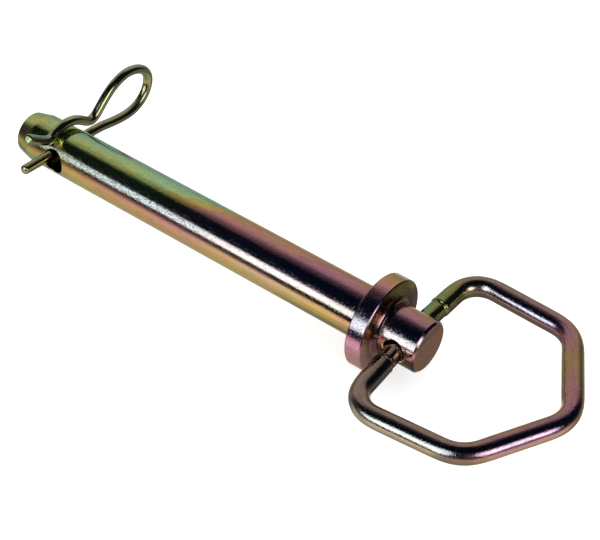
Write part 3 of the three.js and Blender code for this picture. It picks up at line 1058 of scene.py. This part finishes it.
def collar_look(net, point):
    _, y, z = net.split(point)
    nz = net.mul(z, 1 / (COL_R * MM))
    up = net.ease(nz, 0.35, 0.85)
    path = net.add(net.lerp(up, 1462.0, 1405.0), net.drift(point, 18, 26.0))
    path = net.add(path, net.drift(point, 6, 10.0))
    normal_x, flat = end_faces(net)
    radius = axis_distance(net, point)
    # fine and coarse turned rings
    fine = net.mul(turned_rings(net, radius, 0.00055), 3.4)
    coarse = net.mul(turned_rings(net, radius, 0.0023), 6.0)
    rings = net.add(fine, coarse)
    # painted shade: the flat faces are dark, most of all close to the bar, with painted light
    # towards their lower -Y side; the corner against the bar is painted dark too, but for a
    # painted bronze glint on its upper -Y side
    face_painted_shade = net.ease(radius, 14.0 * MM, 21.5 * MM, low=0.30)
    face_painted_light = net.mul(net.ease(nz, 0.55, 0.10), net.ease(y, 8.0 * MM, -4.0 * MM))
    face_painted_shade = net.mul(face_painted_shade, net.mul_add(face_painted_light, 0.75, 0.45))
    corner = net.ease(radius, 15.7 * MM, 15.2 * MM)
    painted_glint = net.mul(net.ease(z, 8.0 * MM, 9.5 * MM), net.ease(y, 0.0, -3.5 * MM))
    corner_shade_and_glint = net.ease(painted_glint, 0.0, 1.0, low=0.22, high=0.5)
    # the rim's upper side is painted darker, and below, the faces turned towards the nose take
    # painted shade
    bright = net.lerp(corner, net.lerp(up, 1.0, 0.72), corner_shade_and_glint)
    bright = net.mul(bright, net.ease(normal_x, -0.15, -0.55, low=1.0, high=0.4))
    path = net.lerp(net.mul(corner, painted_glint), path, 1375.0)
    # a strip of the rim is rubbed, and painted near-white and flecked where the boxes' highlight
    # falls
    highlight_strip = net.mul(net.ease(nz, 0.40, 0.50), net.ease(nz, 0.76, 0.68))
    return dict(
        path=path,
        depth=net.lerp(flat, 1.0, 0.8),
        bright=net.lerp(flat, bright, face_painted_shade),
        rough=net.lerp(flat, 0.11, 0.2),
        height=net.mul(rings, flat),
        grain_um=42.0,
        grain_scale=1100.0,
        stain=0.25,
        rubbed=net.mul(highlight_strip, net.ease(radius, 22.0 * MM, 22.6 * MM, high=0.7)),
    )


# The handle's tables run along the rod in mm, from its -Y end.
ROD_X = (0, 292)
HANDLE_PATH = [  # optical path in nm
    (0, 1385), (20, 1380), (100, 1385), (112, 1415), (135, 1420), (150, 1405), (170, 1395),
    (176, 1360), (184, 1400), (200, 1425), (215, 1392), (245, 1385), (256, 1305),
    (268, 1250), (292, 1215),
]
# level of the painted shade along the rod's upper side
HANDLE_DIMMING = [
    (0, 1.0), (84, 1.0), (91, 0.6), (99, 0.6), (106, 1.0), (180, 1.0), (188, 0.8),
    (250, 0.78), (258, 1.0), (292, 1.0),
]
HANDLE_DEPTH = [
    (0, 0.35), (50, 0.32), (90, 0.42), (102, 0.85), (140, 0.85), (152, 1.0), (190, 1.0),
    (215, 0.6), (245, 0.5), (256, 0.6), (268, 0.95), (292, 1.0),
]


def section_angle(net, y, z):
    """Degrees round the rod's section, 0 at its upper side."""
    return net.mul(net.math("ARCTAN2", z, y), DEG)


def handle_look(net, point):
    x, y, z = net.split(point)
    mm = net.mul(x, 1000.0)
    at = net.add(mm, net.drift(point, 30, 6.0))
    path = net.curve(at, *ROD_X, HANDLE_PATH)
    path = net.add(path, net.drift(point, 16, 48.0, (0.6, 1, 1)))
    path = net.add(path, net.drift(point, 5, 16.0, (0.4, 1, 1)))
    # a shorter path on the outward and lower sides over the first part
    under = net.mul(net.ease(section_angle(net, y, z), 55.0, 80.0), net.ease(mm, 98.0, 86.0))
    path = net.mul_add(under, -75.0, path)
    # painted shade: the rod's upper side is darker than its lower side
    top = net.ease(net.mul(y, 1 / (ROD_R * MM)), 0.5, 0.85)
    # painted shade on the side facing into the ring, which sees mostly the ring itself and its
    # shadow
    angle = section_angle(net, y, z)
    inner = net.mul(net.ease(angle, -92.0, -50.0, low=0.26), net.math("LESS_THAN", angle, 0.0))
    inner = net.add(inner, net.math("GREATER_THAN", angle, 0.0))
    # but not at the rod's two ends
    inner = net.lerp(net.ease(mm, 6.0, 0.0), inner, 1.0)
    inner = net.lerp(net.ease(mm, 286.0, 292.0), inner, 1.0)
    # painted shade: the upper side is darker at the first outer bend and along the far flank,
    # dimming its highlight
    painted_dimming = net.curve(at, *ROD_X, HANDLE_DIMMING)
    painted_dimming = net.lerp(net.ease(angle, 15.0, 33.0), 1.0, painted_dimming)
    return dict(
        path=path,
        depth=net.curve(at, *ROD_X, HANDLE_DEPTH),
        bright=net.mul(net.mul(net.lerp(top, 1.15, 0.62), inner), painted_dimming),
        rough=0.12,
        pit_scale=1000.0,
        pit_um=13.0,
        grain_um=62.0,
        grain_scale=1150.0,
        stain=0.3,
        tint=(0.59, 0.50, 0.37),
    )


def clip_look(net, point):
    path = net.add(1250.0, net.drift(point, 18, 70.0))
    path = net.add(path, net.drift(point, 5, 14.0, (0.5, 1, 1)))
    return dict(
        path=path,
        depth=0.5,
        rough=0.11,
        pit_scale=1500.0,
        pit_um=4.0,
        grain_um=6.0,
        wave_um=8.0,
        stain=0.3,
        tint=(0.52, 0.46, 0.32),
    )


zinc_bar = plating("zinc_bar_film", bar_look)
zinc_collar = plating("zinc_collar_film", collar_look)
zinc_handle = plating("zinc_handle_film", handle_look, on_rod=True)
zinc_clip = plating("zinc_clip_film", clip_look, on_rod=True)

# piece, material, slot, the body it rides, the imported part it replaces
for ob, material, slot, body, part in (
    (bar, zinc_bar, "zinc_bar", "pin", "pin_bar"),
    (collar, zinc_collar, "zinc_collar", "pin", "collar"),
    (handle, zinc_handle, "zinc_handle", "handle", "handle"),
    (leg, zinc_clip, "zinc_clip", "clip", "clip_leg"),
    (loop, zinc_clip, "zinc_clip", "clip_loop", "clip_loop"),
    (crown, zinc_clip, "zinc_clip", None, None),
    (arm, zinc_clip, "zinc_clip", "clip_arm", "clip_arm"),
):
    ob.data.materials.append(material)
    if body:
        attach(ob, body)
        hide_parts(part)
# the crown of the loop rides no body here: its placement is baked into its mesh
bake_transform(crown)

# ------------------------------------------------------------------ floor
FLOOR_Z = -25.4


def floor_material():
    material = bpy.data.materials.new("pale_floor")
    material.use_nodes = True
    net = Nodes(material.node_tree)
    diffuse = net.node("ShaderNodeBsdfDiffuse")
    tone = net.noise(net.node("ShaderNodeTexCoord").outputs["Object"], 3.0, detail=2.0)
    tone = net.ease(tone, 0.3, 0.7, low=0.86, high=0.88)
    net.feed(diffuse.inputs["Color"], net.grey(tone))
    glow = net.node("ShaderNodeEmission")
    glow.inputs["Strength"].default_value = 0.55
    both = net.node("ShaderNodeAddShader")
    net.feed(both.inputs[0], diffuse.outputs[0])
    net.feed(both.inputs[1], glow.outputs[0])
    out = net.node("ShaderNodeOutputMaterial")
    net.feed(out.inputs[0], both.outputs[0])
    return material


def build_floor():
    mesh = bpy.data.meshes.new("floor")
    bm = bmesh.new()
    bmesh.ops.create_circle(bm, cap_ends=True, segments=96, radius=6.0)
    bm.to_mesh(mesh)
    bm.free()
    floor = bpy.data.objects.new("floor", mesh)
    floor.location = (0.12, 0, FLOOR_Z * MM)
    bpy.context.scene.collection.objects.link(floor)
    floor.visible_glossy = False
    mesh.materials.append(floor_material())


build_floor()

# ------------------------------------------------------------------ studio
# What the metal reflects. Azimuth 0 is -Y and 90 is +X; all angles are in degrees.
DARK = (0.003, 0.009, 0.018)
# patches: azimuth, half width, its softness, lowest and highest elevation, their softness, level
SHEEN = (-136, 9, 7, -48, -20, 7, 0.45)
MIDDLE_A = (-72, 22, 10, -20, 34, 10, 0.035)
MIDDLE_B = (25, 22, 10, 0, 60, 12, 0.03)
GLOW = (52, 9, 6, 4, 40, 6, 0.16)
# the floor is darker where it lies in the object's own shade, and behind it; the last
# patch is brighter
FLOOR_SHADES = (
    (-96, 24, 12, -44, 0, 8, 0.72),
    (150, 30, 15, -60, 10, 8, 0.66),
    (-19, 9, 4, -13, 6, 2, 0.96),
    (-22, 9, 5, -36, -14, 4, -0.45),
)
# level by elevation
WALL = [
    (-90, 0.0), (-26, 0.0), (-16, 0.08), (-9, 0.15), (0, 0.30), (10, 0.38), (25, 0.45),
    (46, 0.45), (52, 0.37), (58, 0.19), (64, 0.05), (70, 0.0), (90, 0.0),
]
FLOOR = [
    (-90, 0.32), (-72, 0.33), (-62, 0.36), (-54, 0.40), (-43, 0.46), (-28, 0.52),
    (-19, 0.44), (-14, 0.32), (-10, 0.18), (-5, 0.08), (0, 0.03), (6, 0.0), (90, 0.0),
]
# share of the wide box's light, by azimuth
BOX_FADE = [
    (-60, 0.3), (-44, 0.34), (-40, 0.41), (-36, 0.47), (-32, 0.70), (-28, 0.90), (-24, 1.0),
    (0, 1.0),
]
# the boxes' cool light evens out the warm film to near-white
BOX_A_LEVEL, BOX_A_TINT = 2.5, (0.66, 1.06, 1.15)
BOX_B_LEVEL, BOX_B_TINT = 2.3, (0.76, 1.02, 1.0)


class Sky(Nodes):
    """A node tree with shapes placed by direction."""

    def __init__(self, tree):
        super().__init__(tree)
        self.ray = self.node("ShaderNodeTexCoord").outputs["Generated"]
        up = self.split(self.ray)[2]
        self.elevation = self.mul(self.math("ARCSINE", up), DEG)

    def dot(self, direction):
        return self.vector("DOT_PRODUCT", self.ray, direction, out=1)

    def around(self, azimuth):
        """Degrees from an azimuth, -180 to 180."""
        a = math.radians(azimuth)
        ahead = self.dot((math.sin(a), -math.cos(a), 0))
        across = self.dot((math.cos(a), math.sin(a), 0))
        return self.mul(self.math("ARCTAN2", across, ahead), DEG)

    def sector(self, azimuth, half, soft):
        away = self.math("ABSOLUTE", self.around(azimuth))
        return self.ease(away, half + soft, half - soft)

    def patch(self, azimuth, half, soft, lowest, highest, soft_up, level):
        sector = self.sector(azimuth, half, soft)
        below = self.ease(self.elevation, highest + soft_up, highest - soft_up)
        above = self.ease(self.elevation, lowest - soft_up, lowest + soft_up)
        value = self.mul(self.mul(sector, self.mul(below, above)), level)
        return self.tinted(value, (1, 1, 1))

    def box(self, azimuth, elevation, half_width, half_height, soft, power=2.0):
        """A soft-edged box; a higher power squares its corners."""
        a, b = math.radians(azimuth), math.radians(elevation)
        ahead = self.dot((math.sin(a) * math.cos(b), -math.cos(a) * math.cos(b), math.sin(b)))
        side = (math.cos(a), math.sin(a), 0)
        up = (-math.sin(a) * math.sin(b), math.cos(a) * math.sin(b), math.cos(b))
        powers = []
        for direction, half in ((side, half_width), (up, half_height)):
            angle = self.math("ARCTAN2", self.dot(direction), ahead)
            share = self.math("ABSOLUTE", self.mul(angle, DEG / half))
            powers.append(self.math("POWER", share, power))
        edge = self.math("POWER", self.add(*powers), 1 / power)
        return self.ease(edge, 1 + soft, 1 - soft)


def wall_light(sky):
    sector = sky.sector(-141, half=52, soft=13)
    return sky.grey(sky.mul(sector, sky.curve(sky.elevation, -90, 90, WALL)))


def floor_light(sky):
    level = sky.curve(sky.elevation, -90, 90, FLOOR)
    for shade in FLOOR_SHADES:
        part = sky.node("ShaderNodeSeparateColor")
        sky.feed(part.inputs[0], sky.patch(*shade))
        level = sky.mul(level, sky.sub(1.0, part.outputs[0]))
    return sky.grey(level)


def box_lights(sky):
    fade = sky.curve(sky.around(0), -60, 0, BOX_FADE)
    wide = sky.box(-19, 17.8, half_width=24, half_height=11.6, soft=0.3, power=3.0)
    tall = sky.box(-5, 26, half_width=17, half_height=25, soft=0.15)
    box_a = sky.mul(sky.math("MAXIMUM", wide, tall), fade)
    box_b = sky.box(76, 22, half_width=14, half_height=17, soft=0.4)
    return [
        sky.tinted(box_a, [BOX_A_LEVEL * t for t in BOX_A_TINT]),
        sky.tinted(box_b, [BOX_B_LEVEL * t for t in BOX_B_TINT]),
    ]


def build_world():
    world = bpy.data.worlds.new("studio")
    bpy.context.scene.world = world
    world.use_nodes = True
    world.cycles.sampling_method = "NONE"
    sky = Sky(world.node_tree)
    total = sky.rgb(*DARK)
    lights = [wall_light(sky)]
    lights += [sky.patch(*shape) for shape in (SHEEN, MIDDLE_A, MIDDLE_B)]
    lights += [floor_light(sky), *box_lights(sky), sky.patch(*GLOW)]
    for light in lights:
        total = sky.mix(1.0, total, light, "ADD")
    # only reflections see the studio; everything else sees plain white
    glossy = sky.node("ShaderNodeLightPath").outputs["Is Glossy Ray"]
    background = sky.node("ShaderNodeBackground")
    sky.feed(background.inputs["Color"], sky.mix(glossy, (1.0, 1.0, 1.0, 1), total))
    out = sky.node("ShaderNodeOutputWorld")
    sky.feed(out.inputs[0], background.outputs[0])


build_world()

# ------------------------------------------------------------------ camera
CAM_AZIMUTH, CAM_ELEVATION, CAM_ROLL = (math.radians(v) for v in (36.6899, 44.0024, 1.1576))
CAM_PLACE = (0.47856, -0.41227, 0.50142)  # metres


def build_camera():
    data = bpy.data.cameras.new("camera")
    camera = bpy.data.objects.new("camera", data)
    bpy.context.scene.collection.objects.link(camera)
    bpy.context.scene.camera = camera
    sin, cos = math.sin(CAM_AZIMUTH), math.cos(CAM_AZIMUTH)
    flat = math.cos(CAM_ELEVATION)
    back = Vector((sin * flat, -cos * flat, math.sin(CAM_ELEVATION)))
    level = Vector((cos, sin, 0))
    upright = back.cross(level)
    right = level * math.cos(CAM_ROLL) + upright * math.sin(CAM_ROLL)
    up = -level * math.sin(CAM_ROLL) + upright * math.cos(CAM_ROLL)
    matrix = Matrix((right, up, back)).transposed().to_4x4()
    matrix.translation = Vector(CAM_PLACE)
    camera.matrix_world = matrix
    data.sensor_width = 36.0
    data.sensor_fit = "HORIZONTAL"
    data.lens = 93.48
    data.clip_start = 0.01
    data.clip_end = 50.0


build_camera()

view = bpy.context.scene.view_settings
view.view_transform = "Standard"
view.look = "None"
view.exposure = 0.0
view.gamma = 1.0
